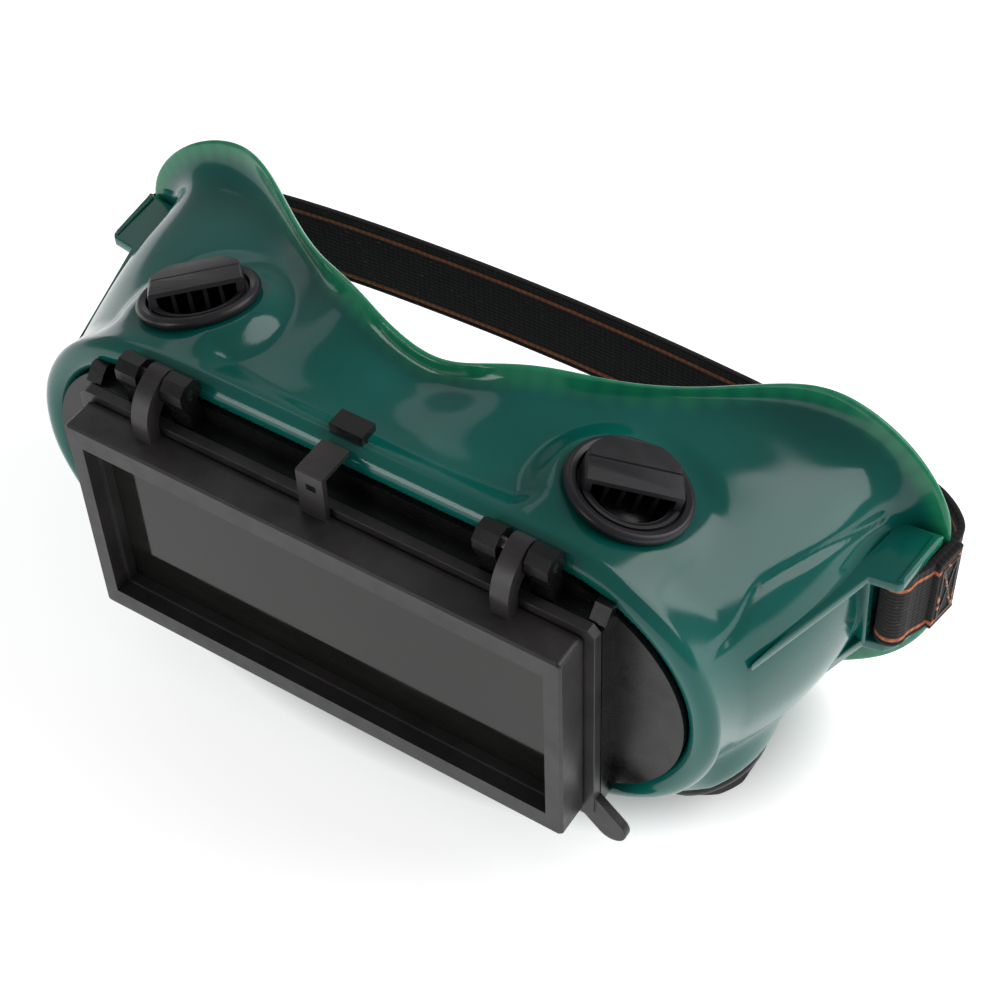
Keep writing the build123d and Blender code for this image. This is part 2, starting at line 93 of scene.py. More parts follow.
class Nodes:
    """A material's node tree, built by short calls."""

    def __init__(self, name):
        self.mat = bpy.data.materials.new(name)
        self.mat.use_nodes = True
        self.tree = self.mat.node_tree
        self.tree.nodes.clear()
        surface = self.tree.nodes.new("ShaderNodeOutputMaterial").inputs["Surface"]
        self.bsdf = self.tree.nodes.new("ShaderNodeBsdfPrincipled")
        self.link(self.bsdf.outputs[0], surface)
        self.coords = self.tree.nodes.new("ShaderNodeTexCoord")

    def link(self, source, target):
        self.tree.links.new(source, target)

    def plain(self, **values):
        """Constants on the shader's own sockets."""
        for key, value in values.items():
            self.bsdf.inputs[key.replace("_", " ")].default_value = value

    def add(self, kind, inputs=None, **settings):
        node = self.tree.nodes.new("ShaderNode" + kind)
        for key, value in settings.items():
            setattr(node, key, value)
        for key, value in (inputs or {}).items():
            if isinstance(value, bpy.types.NodeSocket):
                self.link(value, node.inputs[key])
            else:
                node.inputs[key].default_value = value
        return node

    def noise(self, scale, detail=3.0, rough=0.5, vector=None):
        """Noise with so many cells per metre of the object."""
        vector = vector or self.coords.outputs["Object"]
        return self.add("TexNoise", {"Vector": vector, "Scale": scale, "Detail": detail,
                                     "Roughness": rough}).outputs["Fac"]

    def ramp(self, value, low, high, to_low=0.0, to_high=1.0):
        return self.add("MapRange", {"Value": value, "From Min": low, "From Max": high,
                                     "To Min": to_low, "To Max": to_high}).outputs["Result"]

    def mix(self, share, one, other):
        node = self.add("Mix", data_type="RGBA")
        for place, value in ((0, share), (6, one), (7, other)):
            socket = node.inputs[place]
            if isinstance(value, bpy.types.NodeSocket):
                self.link(value, socket)
            else:
                socket.default_value = value
        return node.outputs[2]

    def math(self, operation, one, other=0.0):
        return self.add("Math", {0: one, 1: other}, operation=operation).outputs[0]

    def bump(self, height, distance, normal=None):
        inputs = {"Height": height, "Distance": distance, "Strength": 1.0}
        if normal is not None:
            inputs["Normal"] = normal
        return self.add("Bump", inputs).outputs["Normal"]

    def attribute(self, name):
        return self.add("Attribute", attribute_name=name).outputs["Fac"]


PVC_DEEP, PVC_MID, PVC_RIM_GLOW = srgb(3, 84, 76), srgb(8, 98, 90), srgb(34, 138, 98)


def pvc_material():
    """Glossy soft PVC: colour drifts slowly, a painted glow on the thin rim (lighter and greener,
    as light shining through it), faint moulding waves.
    """
    n = Nodes("mask_pvc")
    drift = n.ramp(n.noise(22.0, 2.0), 0.35, 0.65)
    body = n.mix(drift, PVC_DEEP, PVC_MID)
    # Painted glow: the rim attribute mixes the thin free edge toward a lighter, greener colour, as
    # light shining through it
    rim = n.attribute("rim")
    n.link(n.mix(rim, body, PVC_RIM_GLOW), n.bsdf.inputs["Base Color"])
    n.link(n.ramp(n.noise(160.0, 4.0), 0.3, 0.7, 0.09, 0.16), n.bsdf.inputs["Roughness"])
    waves = n.bump(n.noise(55.0, 1.0), 0.00012)
    n.link(n.bump(n.noise(2600.0, 2.0), 0.000008, normal=waves), n.bsdf.inputs["Normal"])
    n.plain(IOR=1.45, Subsurface_Weight=0.12, Subsurface_Radius=(0.25, 1.0, 0.7),
            Subsurface_Scale=0.003)
    return n.mat


def plastic_material(name, dark, light, rough, grain, edge=None):
    """Moulded plastic: fine spark-eroded grain, uneven gloss, and lighter scuffs in patches."""
    n = Nodes(name)
    cloud = n.ramp(n.noise(90.0, 4.0, 0.6), 0.35, 0.7)
    scuff = n.ramp(n.noise(700.0, 5.0, 0.7), 0.56, 0.75, 0.0, 0.6)
    base = n.mix(cloud, dark, light)
    n.link(n.mix(scuff, base, edge or light), n.bsdf.inputs["Base Color"])
    n.link(n.ramp(n.noise(240.0, 4.0), 0.3, 0.7, rough - 0.06, rough + 0.08),
           n.bsdf.inputs["Roughness"])
    waves = n.bump(n.noise(45.0, 1.0), 0.00006)
    n.link(n.bump(n.noise(3200.0, 3.0, 0.6), 0.00002 * grain, normal=waves),
           n.bsdf.inputs["Normal"])
    n.plain(IOR=1.49, Specular_IOR_Level=0.36)
    return n.mat


def shade_material():
    """Very dark polished lens with faint wipe marks."""
    n = Nodes("shade_glass")
    stretched = n.add("Mapping", {"Vector": n.coords.outputs["Object"], "Scale": (1.0, 1.0, 7.0),
                                  "Rotation": (0.0, 0.5, 0.0)}).outputs[0]
    smear = n.ramp(n.noise(60.0, 5.0, 0.6, stretched), 0.4, 0.75)
    n.link(n.mix(smear, srgb(22, 24, 21), srgb(29, 28, 25)), n.bsdf.inputs["Base Color"])
    n.link(n.ramp(smear, 0.0, 1.0, 0.05, 0.12), n.bsdf.inputs["Roughness"])
    n.plain(IOR=1.52, Specular_IOR_Level=0.3)
    return n.mat


def clear_material():
    """Clear plate: glass with a hint of dust."""
    n = Nodes("clear_plate")
    dust = n.ramp(n.noise(500.0, 3.0, 0.5), 0.45, 0.8, 0.0, 0.5)
    n.link(n.mix(dust, srgb(236, 244, 242), srgb(214, 222, 220)), n.bsdf.inputs["Base Color"])
    n.link(n.ramp(dust, 0.0, 1.0, 0.02, 0.06), n.bsdf.inputs["Roughness"])
    n.plain(IOR=1.49, Transmission_Weight=0.98)
    return n.mat


def steel_material():
    """Drawn wire: lines along it, slight tarnish."""
    n = Nodes("pin_steel")
    drawn = n.add("Mapping", {"Vector": n.coords.outputs["Object"],
                              "Scale": (0.04, 1.0, 1.0)}).outputs[0]
    lines = n.noise(4000.0, 3.0, 0.6, drawn)
    n.link(n.mix(n.ramp(n.noise(500.0), 0.4, 0.7), srgb(150, 148, 144), srgb(96, 90, 84)),
           n.bsdf.inputs["Base Color"])
    n.link(n.ramp(lines, 0.3, 0.7, 0.25, 0.45), n.bsdf.inputs["Roughness"])
    n.link(n.bump(lines, 0.00001), n.bsdf.inputs["Normal"])
    n.plain(Metallic=1.0)
    return n.mat


ORANGE, ORANGE_DARK = srgb(232, 140, 88), srgb(186, 98, 58)
KNIT_ROW, KNIT_WALE, TWIST = 1.05, 1.3, 1.6          # mm: pitches of the knit and of the thread
LINE_TOP, LINE_LOW = 7.2, 8.0                        # mm above and below the middle
LINE_HALF, LINE_END = 0.4, 0.6                       # mm: full colour to here, gone by there
CORD_FROM, CORD_FULL = 8.6, 8.9                      # mm from the middle to the corded edge


def elastic_material():
    """Knitted elastic by its own map: u metres along, v metres up from the middle."""
    n = Nodes("elastic")
    uv = n.add("UVMap", uv_map="strap").outputs[0]
    split = n.add("SeparateXYZ", {"Vector": uv})
    along, up = split.outputs[0], split.outputs[1]

    def wave(where, pitch):
        return n.math("SINE", n.math("MULTIPLY", where, 2 * math.pi / (pitch * MM)))

    def line(off):
        return n.ramp(n.math("ABSOLUTE", off), LINE_HALF * MM, LINE_END * MM, 1.0, 0.0)

    rows, wales = wave(up, KNIT_ROW), wave(along, KNIT_WALE)
    fuzz = n.noise(5200.0, 4.0, 0.65)
    edge = n.ramp(n.math("ABSOLUTE", up), CORD_FROM * MM, CORD_FULL * MM)
    thread = n.math("MAXIMUM", line(n.math("SUBTRACT", up, LINE_TOP * MM)),
                    line(n.math("ADD", up, LINE_LOW * MM)))
    twist = n.ramp(wave(along, TWIST), -0.8, 0.9, 0.7, 1.0)
    # Painted highlight: light grey glints in stretched dashes on the crests of the knit rows, in
    # patches, none at the corded edge
    stretch = n.add("Mapping", {"Vector": uv, "Scale": (0.28, 1.0, 1.0)}).outputs[0]
    glint_dash = n.ramp(n.noise(2600.0, 2.0, 0.5, stretch), 0.62, 0.72)
    crest = n.ramp(rows, 0.45, 0.85)
    glint_patches = n.ramp(n.noise(26.0, 2.0), 0.40, 0.62)
    shown = n.math("MULTIPLY", n.math("MULTIPLY", glint_dash, crest), glint_patches)
    shown = n.math("MULTIPLY", n.math("MULTIPLY", shown, n.math("SUBTRACT", 1.0, edge)), 0.75)
    black = n.mix(n.ramp(fuzz, 0.35, 0.7), srgb(9, 8, 8), srgb(25, 22, 21))
    # the knit's black with its painted highlight glints
    knit = n.mix(shown, black, srgb(150, 145, 142))
    orange = n.mix(n.ramp(fuzz, 0.3, 0.7), ORANGE_DARK, ORANGE)
    n.link(n.mix(n.math("MULTIPLY", thread, twist), knit, orange), n.bsdf.inputs["Base Color"])
    knit_height = n.math("ADD", n.math("MULTIPLY", rows, 0.22), n.math("MULTIPLY", wales, 0.3))
    height = n.math("ADD", knit_height, n.math("MULTIPLY", fuzz, 1.1))
    height = n.math("ADD", height, n.math("MULTIPLY", thread, 1.2))
    n.link(n.bump(height, 0.00012), n.bsdf.inputs["Normal"])
    n.plain(Roughness=0.85, Sheen_Weight=0.08, Sheen_Roughness=0.4)
    return n.mat


def thread_material():
    """Twisted sewing thread, black with orange strands."""
    n = Nodes("thread")
    fuzz = n.noise(4200.0, 4.0, 0.6)
    strand = n.ramp(n.noise(420.0, 2.0), 0.56, 0.62)
    n.link(n.mix(strand, srgb(30, 26, 25), ORANGE), n.bsdf.inputs["Base Color"])
    n.link(n.bump(fuzz, 0.00006), n.bsdf.inputs["Normal"])
    n.plain(Roughness=0.8, Sheen_Weight=0.2)
    return n.mat


# The floor's dim ellipse, 160 by 82 mm round y 52 mm: this scale and shift make it a unit circle.
SHADOW_SCALE, SHADOW_SHIFT = (12.5, 24.5, 0.0), (0.0, -1.27, 0.0)
FLOOR_GLOW = 0.66


def floor_material():
    """White floor that glows outside an ellipse under the goggles, so their shadow stays soft."""
    n = Nodes("floor")
    flat = n.add("Mapping", {"Vector": n.coords.outputs["Object"], "Location": SHADOW_SHIFT,
                             "Scale": SHADOW_SCALE}).outputs[0]
    reach = n.add("VectorMath", {0: flat}, operation="LENGTH").outputs["Value"]
    n.link(n.ramp(reach, 0.85, 1.15, 0.0, FLOOR_GLOW), n.bsdf.inputs["Emission Strength"])
    n.link(n.mix(n.noise(3.0), srgb(250, 250, 250), srgb(253, 253, 253)),
           n.bsdf.inputs["Base Color"])
    n.plain(Roughness=0.9, Specular_IOR_Level=0.0, Emission_Color=(1.0, 1.0, 1.0, 1.0))
    return n.mat


PVC = pvc_material()
CARRIER_BLACK = plastic_material("carrier_plastic", srgb(14, 14, 15), srgb(22, 22, 23), 0.27, 0.8)
FLIP_BLACK = plastic_material("flip_plastic", srgb(42, 40, 40), srgb(57, 54, 54), 0.36, 1.0,
                              srgb(58, 54, 53))
VENT_BLACK = plastic_material("vent_plastic", srgb(33, 31, 34), srgb(44, 41, 45), 0.34, 0.7)
SHADE = shade_material()
CLEAR = clear_material()
STEEL = steel_material()
ELASTIC = elastic_material()
THREAD = thread_material()


# ---------------------------------------------------------------- mesh helpers
def make_mesh(name, points, faces, mat):
    """Smooth-shaded object from points in mm."""
    mesh = bpy.data.meshes.new(name)
    mesh.from_pydata([tuple(float(c) * MM for c in p) for p in points], [], faces)
    mesh.materials.append(mat)
    mesh.polygons.foreach_set("use_smooth", [True] * len(mesh.polygons))
    mesh.update()
    obj = bpy.data.objects.new(name, mesh)
    bpy.context.scene.collection.objects.link(obj)
    return obj


def grid_faces(rows, cols, wrap_rows):
    """Quads of a grid whose points run row by row, each row a closed loop."""
    faces = []
    for r in range(rows if wrap_rows else rows - 1):
        for c in range(cols):
            r2, c2 = (r + 1) % rows, (c + 1) % cols
            faces.append((r * cols + c, r * cols + c2, r2 * cols + c2, r2 * cols + c))
    return faces


def face_outward(obj):
    bm = bmesh.new()
    bm.from_mesh(obj.data)
    bmesh.ops.recalc_face_normals(bm, faces=bm.faces)
    bm.to_mesh(obj.data)
    bm.free()


def apply_modifiers(obj):
    """The object's mesh becomes what its modifiers show."""
    graph = bpy.context.evaluated_depsgraph_get()
    mesh = bpy.data.meshes.new_from_object(obj.evaluated_get(graph))
    obj.modifiers.clear()
    obj.data = mesh


def smooth_by_angle(obj, degrees):
    """Smooth shading with hard edges where faces turn by more than this."""
    bm = bmesh.new()
    bm.from_mesh(obj.data)
    limit = math.radians(degrees)
    for edge in bm.edges:
        edge.smooth = not (edge.is_manifold and edge.calc_face_angle(0.0) > limit)
    for face in bm.faces:
        face.smooth = True
    bm.to_mesh(obj.data)
    bm.free()


def spline_slopes(points, closed):
    """Slopes of the C2 cubic through the points, one step of the parameter apart."""
    count = len(points)
    matrix, right = np.zeros((count, count)), np.zeros_like(points)
    for i in range(count):
        before, after = i - 1, i + 1
        if closed:
            before, after = before % count, after % count
        elif i in (0, count - 1):
            other = 1 if i == 0 else count - 2
            matrix[i, i], matrix[i, other] = 2, 1
            right[i] = 3 * (points[1] - points[0]) if i == 0 else 3 * (points[-1] - points[-2])
            continue
        matrix[i, i], matrix[i, before], matrix[i, after] = 4, 1, 1
        right[i] = 3 * (points[after] - points[before])
    return np.linalg.solve(matrix, right.reshape(count, -1)).reshape(points.shape)


def along_spline(points, where, closed=False):
    """Points of the C2 cubic at the given parameters; the first axis of points is the run."""
    points = np.asarray(points, float)
    slopes = spline_slopes(points, closed)
    out = []
    for t in where:
        i = int(math.floor(t))
        i = i if closed else min(max(i, 0), len(points) - 2)
        f, a, b = t - i, i % len(points), (i + 1) % len(points)
        out.append((1 + 2 * f) * (1 - f) ** 2 * points[a] + f * (1 - f) ** 2 * slopes[a]
                   + f * f * (3 - 2 * f) * points[b] + f * f * (f - 1) * slopes[b])
    return np.array(out)


def smoothstep(value, low, high):
    t = np.clip((value - low) / (high - low), 0, 1)
    return t * t * (3 - 2 * t)


# ---------------------------------------------------------------- mask body
# All in mm. Outlines are right halves, from the middle of the brow round to the middle of the nose.
LIP_HALF, LIP_MID_Z, LIP_Y, LIP_R, BEAD_R = 44.0, 1.5, 18.0, 33.5, 3.2
NECK_R, NECK_Y = 34.8, 20.0                          # the wall's front end, inside the lip's bead
WALL, RIM_INSET, ROOT_BACK = 1.8, (0.8, 1.6), 1.0
VENT_TOP, VENT_LOW = (49.6, 35.6, 34.8), (68.0, 39.5, -36.0)
VENT_TOP_LEAN, VENT_TOP_TILT, VENT_LOW_LEAN = 15.0, 10.0, 32.0
RIM = [                                              # free edge, against the face
    (0, 44.5, 36.0), (11, 45.3, 39.0), (22, 49.1, 40.4), (34, 55.0, 38.2), (47, 63.3, 36.0),
    (60, 72.0, 36.2), (72, 76.5, 35.6), (85, 77.3, 29.8), (94, 76.8, 21.0), (97.6, 76.2, 11.0),
    (97.6, 76.0, -2.0), (97.2, 76.0, -15.0), (91, 76.0, -29.0), (80.7, 75.0, -38.0),
    (68, 72.0, -43.5), (54, 65.0, -45.5), (40, 58.0, -43.0), (28, 52.0, -36.0),
    (19, 48.0, -26.5), (10, 46.0, -20.0), (0, 45.3, -18.0),
]
ROOT = [                                             # where the flared rim leaves the wall
    (0, 42.5, 33.0), (10.5, 43.0, 35.3), (21, 45.2, 37.6), (32, 52.0, 35.3), (45, 60.0, 33.3),
    (57, 67.5, 31.3), (68, 71.5, 29.0), (78.5, 72.0, 26.0), (85.5, 72.0, 20.5),
    (89, 71.5, 11.0), (90, 71.5, -1.0), (88.5, 71.5, -13.0), (83, 71.5, -24.5),
    (74, 70.5, -32.5), (63, 67.0, -37.0), (50, 60.5, -38.5), (38, 54.5, -37.0),
    (27, 49.0, -31.5), (18, 45.5, -24.0), (9.5, 43.5, -18.0), (0, 43.0, -16.2),
]
TOP_STEPS = [0, 10, 20, 30, 38]
ARC_STEPS = [12, 28, 45, 62, 77, 92, 107, 125, 142, 158, 172]


def lip_outline(radius, y):
    """Right half of the lip's oval, with one point for each rim station."""
    top = [(x, y, LIP_MID_Z + radius) for x in TOP_STEPS]
    arc = [(LIP_HALF + radius * math.sin(math.radians(a)), y,
            LIP_MID_Z + radius * math.cos(math.radians(a))) for a in ARC_STEPS]
    low = [(x, y, LIP_MID_Z - radius) for x in reversed(TOP_STEPS)]
    return top + arc + low


TOP_FADE = 25.0                                      # the sag eases out over this height above 0
NOSE_X, NOSE_WIDE, SIDE_X, SIDE_WIDE = 25, 20, 60, 20
CHEEK_X, CHEEK_WIDE, CHEEK_TURN = 66, 13, (0.5, -0.87)


def between(first, second, share, sag, bulge, cheek):
    """Outline part way between two others: top sags, sides and cheeks bulge, nose rises late."""
    out = []
    for a, b in zip(first, second):
        x, y = (a[i] + (b[i] - a[i]) * share for i in (0, 1))
        if a[2] > 0:
            z = a[2] + (b[2] - a[2]) * share - sag * min(1.0, a[2] / TOP_FADE)
        else:
            late = 2.0 - max(0.0, min(1.0, (x - NOSE_X) / NOSE_WIDE))
            z = a[2] + (b[2] - a[2]) * share**late
            puff = cheek * math.exp(-(((x - CHEEK_X) / CHEEK_WIDE) ** 2))
            x, z = x + CHEEK_TURN[0] * puff, z + CHEEK_TURN[1] * puff
        out.append((x + bulge * max(0.0, min(1.0, (x - SIDE_X) / SIDE_WIDE)), y, z))
    return out


def inset(half, depth, back=0.0):
    """Outline moved inward in its own XZ shape, and back along Y."""
    out, last = [], len(half) - 1
    for i, (x, y, z) in enumerate(half):
        before, after = half[max(i - 1, 0)], half[min(i + 1, last)]
        run, rise = after[0] - before[0], after[2] - before[2]
        rise = 0.0 if i in (0, last) else rise
        size = math.hypot(run, rise)
        x_in = 0.0 if i in (0, last) else x + rise / size * depth
        out.append((x_in, y + back, z - run / size * depth))
    return out


def full_loop(half):
    """Right half of an outline and its mirror image, as one closed loop."""
    return np.array(half + [(-x, y, z) for x, y, z in reversed(half[1:-1])], float)


COLS_PER_STATION = 12
STATIONS = 2 * len(RIM) - 2
COLS = STATIONS * COLS_PER_STATION
AROUND = [c / COLS_PER_STATION for c in range(COLS)]
WALL_ROWS = 84                                       # outside, from rim to lip; half of that inside
LENGTH_STEPS = 400


def loop_curve(half):
    return along_spline(full_loop(half), AROUND, closed=True)


def bead_row(angle):
    """Row of the lip's bead; 0 is outermost, 90 the front, 180 innermost."""
    a = math.radians(angle)
    return loop_curve(lip_outline(LIP_R + BEAD_R * math.cos(a), LIP_Y - BEAD_R * math.sin(a)))


def wall_rows(sections, last, rows):
    """Rows of a wall from its first section to this parameter, evenly spread by mean length."""
    curves = np.array([loop_curve(s) for s in sections])
    fine = np.linspace(0.0, last, LENGTH_STEPS)
    surface = along_spline(curves, fine)
    steps = np.linalg.norm(np.diff(surface, axis=0), axis=2).mean(axis=1)
    length = np.concatenate([[0], np.cumsum(steps)])
    even = np.interp(np.linspace(0, length[-1], rows), length, fine)
    return along_spline(curves, even)


def vent_frames():
    """Centre and outward axis of each vent."""
    for (x, y, z), lean, tilt in ((VENT_TOP, VENT_TOP_LEAN, VENT_TOP_TILT),
                                  (VENT_LOW, 180 - VENT_LOW_LEAN, 0.0)):
        a, b = math.radians(lean), math.radians(tilt)
        for side in SIDES:
            axis = (side * math.sin(a), math.cos(a) * math.sin(b), math.cos(a) * math.cos(b))
            yield np.array((side * x, y, z)), np.array(axis)


PAD_R, PAD_IN_R, PAD_FADE = 13.5, 12.2, 19.5         # flat out to the first two, outside and in
PAD_THICK, PAD_REACH = 3.0, 14


def press_pads(points, level, flat):
    """Wall pressed level under each vent out to radius flat, easing into its own shape round it."""
    for centre, axis in vent_frames():
        rel = points - centre
        height = rel @ axis
        radial = np.linalg.norm(rel - height[..., None] * axis, axis=-1)
        near = (1 - smoothstep(radial, flat, PAD_FADE)) * (np.abs(height) < PAD_REACH)
        points += (near * (level - height))[..., None] * axis
    return points


CREASE = [(86.6, 69.5, 16.8), (84, 59.9, 19.4), (82.1, 53.8, 20.7), (80, 47.6, 21.6),
          (77.6, 41, 22.3), (76.4, 36.5, 21.9), (76.6, 32.0, 20.4), (76.5, 28.5, 19.2),
          (76.1, 24.9, 18.6)]
CREASE_DEEP, CREASE_WIDE = 0.55, 0.9
CREASE_X, CREASE_Z, CREASE_TALL = 70, 20, 9          # only points past x and this near z are tried
MASK_MIDDLE = (0, 45, 0)
FAR_OFF = 99.0


def press_crease(points):
    """Narrow fold along the wearer's left side of the wall, where the brow meets the temple."""
    line = along_spline(CREASE, np.linspace(0, len(CREASE) - 1, 120))
    run = np.gradient(points, axis=0)
    across = np.roll(points, -1, axis=1) - np.roll(points, 1, axis=1)
    normal = np.cross(run, across)
    normal /= np.linalg.norm(normal, axis=-1)[..., None]
    outward = np.sign((normal * (points - MASK_MIDDLE)).sum(-1))
    gap = np.full(points.shape[:2], FAR_OFF)
    where = np.nonzero((points[..., 0] > CREASE_X)
                       & (np.abs(points[..., 2] - CREASE_Z) < CREASE_TALL))
    gap[where] = np.linalg.norm(points[where][:, None] - line[None], axis=2).min(axis=1)
    depth = CREASE_DEEP * np.exp(-((gap / CREASE_WIDE) ** 2))
    return points - (depth * outward)[..., None] * normal


OUT_END, IN_END = 3.72, 3.85                         # where the wall stops, between front and neck
BEAD_ANGLES, TURN_ANGLES = range(-40, 236, 12), (-60, -30, 0, 30, 60)
SEAM_PASSES, SEAM_ROWS = 6, 4


def mask_grid():
    """Rows of the closed shell: free edge, outside of the wall, lip's bead, inside."""
    neck = lip_outline(NECK_R, NECK_Y)
    front, rear = between(neck, ROOT, 0.35, 1.2, 1.9, 3.6), between(neck, ROOT, 0.7, 0.8, 1.5, 3.0)
    outer = [RIM, ROOT, rear, front, neck]
    inner = [inset(RIM, *RIM_INSET), inset(ROOT, WALL, ROOT_BACK)]
    inner += [inset(s, WALL) for s in (rear, front, neck)]
    out_rows = press_crease(press_pads(wall_rows(outer, OUT_END, WALL_ROWS), 0.0, PAD_R))
    in_rows = press_pads(wall_rows(inner, IN_END, WALL_ROWS // 2), -PAD_THICK, PAD_IN_R)
    beads = np.array([bead_row(a) for a in BEAD_ANGLES])
    turn = []                                        # rounded free edge, from inner to outer rim
    start, end = in_rows[0], out_rows[0]
    middle, reach = (start + end) / 2, (end - start) / 2
    proud = out_rows[0] - out_rows[3]
    proud *= (np.linalg.norm(reach, axis=1) / np.linalg.norm(proud, axis=1))[:, None]
    for angle in TURN_ANGLES:
        a = math.radians(angle)
        turn.append(middle + reach * math.sin(a) + proud * math.cos(a))
    grid = np.concatenate([np.array(turn), out_rows, beads, in_rows[::-1]])
    first_bead = len(turn) + WALL_ROWS
    seams = (first_bead, first_bead + len(beads))
    for _ in range(SEAM_PASSES):                     # soften where wall and bead meet
        for seam in seams:
            rows = range(seam - SEAM_ROWS, seam + SEAM_ROWS)
            grid[rows] = np.array([(grid[r - 1] + 2 * grid[r] + grid[r + 1]) / 4 for r in rows])
    return grid


def prism(outline, low, high, flat="XY"):
    """Closed prism; the outline lies in XY, or in YZ with low and high along X."""
    area = sum(a[0] * b[1] - b[0] * a[1] for a, b in zip(outline, outline[1:] + outline[:1]))
    if area < 0:
        outline = outline[::-1]
    if flat == "XY":
        points = [(x, y, low) for x, y in outline] + [(x, y, high) for x, y in outline]
    else:
        points = [(low, y, z) for y, z in outline] + [(high, y, z) for y, z in outline]
    n = len(outline)
    faces = [tuple(reversed(range(n))), tuple(range(n, 2 * n))]
    faces += [(i, (i + 1) % n, n + (i + 1) % n, n + i) for i in range(n)]
    return points, faces


LUG_GAP, LUG_PLATE, LUG_SUNK, LUG_PROUD = 21.0, 2.5, 0.5, 0.45
LUG_SOFT, BAND_SOFT, SOFT_ANGLE = 0.35, 0.3, 20
BAR_X, BAR_Y, BAR_R, BAR_SIDES = 93.3, 65.0, 1.5, 24
WEB_X = (87.2, 89.8)
LUG_TOP = [(80.8, 28.0), (89.8, 58.2), (95.4, 59.0), (96.2, 60.0), (97.6, 74.6), (88.8, 73.8),
           (86.6, 60.0)]
LUG_LOW = [(81.9, 38.0), (89.2, 61.4), (93.4, 62.4), (95.2, 64.8), (98.0, 75.0), (88.8, 73.8),
           (86.6, 60.0)]
LUG_BAND = [(94.9, 59.6), (96.0, 60.4), (97.3, 73.6), (95.7, 73.6)]
LUG_WEB = [(58.9, 11.5), (61.1, 11.5), (63.4, -11.5), (61.2, -11.5)]


def mirrored(points, faces):
    return [(-x, y, z) for x, y, z in points], [tuple(reversed(f)) for f in faces]


def lug_pieces(side):
    """Plates, raised band, web and bar of one strap lug, each a bevelled solid."""
    half = LUG_GAP / 2
    shapes = [
        (prism(LUG_TOP, half, half + LUG_PLATE), LUG_SOFT),
        (prism(LUG_LOW, -half - LUG_PLATE, -half), LUG_SOFT),
        (prism(LUG_BAND, half + LUG_PLATE - LUG_SUNK, half + LUG_PLATE + LUG_PROUD), BAND_SOFT),
        (prism(LUG_WEB, *WEB_X, "YZ"), BAND_SOFT),
    ]
    ring = [(BAR_X + BAR_R * math.cos(a), BAR_Y + BAR_R * math.sin(a))
            for a in (math.tau * i / BAR_SIDES for i in range(BAR_SIDES))]
    shapes.append((prism(ring, -half - LUG_SUNK, half + LUG_SUNK), 0.0))
    for (points, faces), bevel in shapes:
        if side < 0:
            points, faces = mirrored(points, faces)
        obj = make_mesh("lug", points, faces, PVC)
        if bevel:
            cut = obj.modifiers.new("bevel", "BEVEL")
            cut.width, cut.segments, cut.limit_method = bevel * MM, 3, "ANGLE"
            cut.angle_limit = math.radians(SOFT_ANGLE)
            apply_modifiers(obj)
        yield obj


def boolean(target, tools, operation):
    """Boolean with each tool in turn; the tools are used up."""
    for tool in tools:
        step = target.modifiers.new("cut", "BOOLEAN")
        step.operation, step.object, step.solver = operation, tool, "EXACT"
        apply_modifiers(target)
        bpy.data.objects.remove(tool)


ROUND_SIDES = 96


def cylinder(name, centre, axis, radius, low, high, mat):
    """Closed cylinder about an axis through centre, between two heights."""
    axis = Vector(axis).normalized()
    across = axis.orthogonal().normalized()
    other = axis.cross(across)
    points, sides = [], ROUND_SIDES
    for height in (low, high):
        for i in range(sides):
            a = math.tau * i / sides
            out = radius * (math.cos(a) * across + math.sin(a) * other)
            points.append(tuple(Vector(centre) + height * axis + out))
    faces = [tuple(reversed(range(sides))), tuple(range(sides, 2 * sides))]
    faces += [(i, (i + 1) % sides, sides + (i + 1) % sides, sides + i) for i in range(sides)]
    return make_mesh(name, points, faces, mat)


VENT_HOLE_R, VENT_HOLE_REACH = 10.35, 9
MASK_SHARP = 38                                      # degrees
RIM_GLOW_FULL, RIM_GLOW_END, RIM_FRONT_Y = 0.6, 5.0, 40        # mm from the free edge where the rim's painted glow is full and where it is gone; none before this y
CHUNK = 4000                                         # points measured at a time


def paint_rim_glow(mask):
    """The attribute "rim", mask of the painted glow of light through the thin edge: 1 at the thin
    free edge, fading to 0 over the flared rim.
    """
    edge = loop_curve(RIM)[::4]
    points = np.array([v.co for v in mask.data.vertices]) / MM
    share = np.zeros(len(points))
    candidates = np.where(points[:, 1] > RIM_FRONT_Y)[0]
    for start in range(0, len(candidates), CHUNK):
        some = candidates[start:start + CHUNK]
        gap = np.linalg.norm(points[some][:, None] - edge[None], axis=2).min(axis=1)
        share[some] = 1 - smoothstep(gap, RIM_GLOW_FULL, RIM_GLOW_END)
    rim = mask.data.attributes.new("rim", "FLOAT", "POINT")
    rim.data.foreach_set("value", share.astype(np.float32))


def build_mask():
    grid = mask_grid()
    rows, cols = grid.shape[:2]
    mask = make_mesh("mask_shell", grid.reshape(-1, 3), grid_faces(rows, cols, True), PVC)
    face_outward(mask)
    holes = [cylinder("hole", centre, axis, VENT_HOLE_R, -VENT_HOLE_REACH, VENT_HOLE_REACH, PVC)
             for centre, axis in vent_frames()]
    boolean(mask, holes, "DIFFERENCE")
    boolean(mask, [piece for side in SIDES for piece in lug_pieces(side)], "UNION")
    smooth_by_angle(mask, MASK_SHARP)
    paint_rim_glow(mask)
    return mask


mask = build_mask()
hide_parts("mask_body")
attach(mask, "mask")


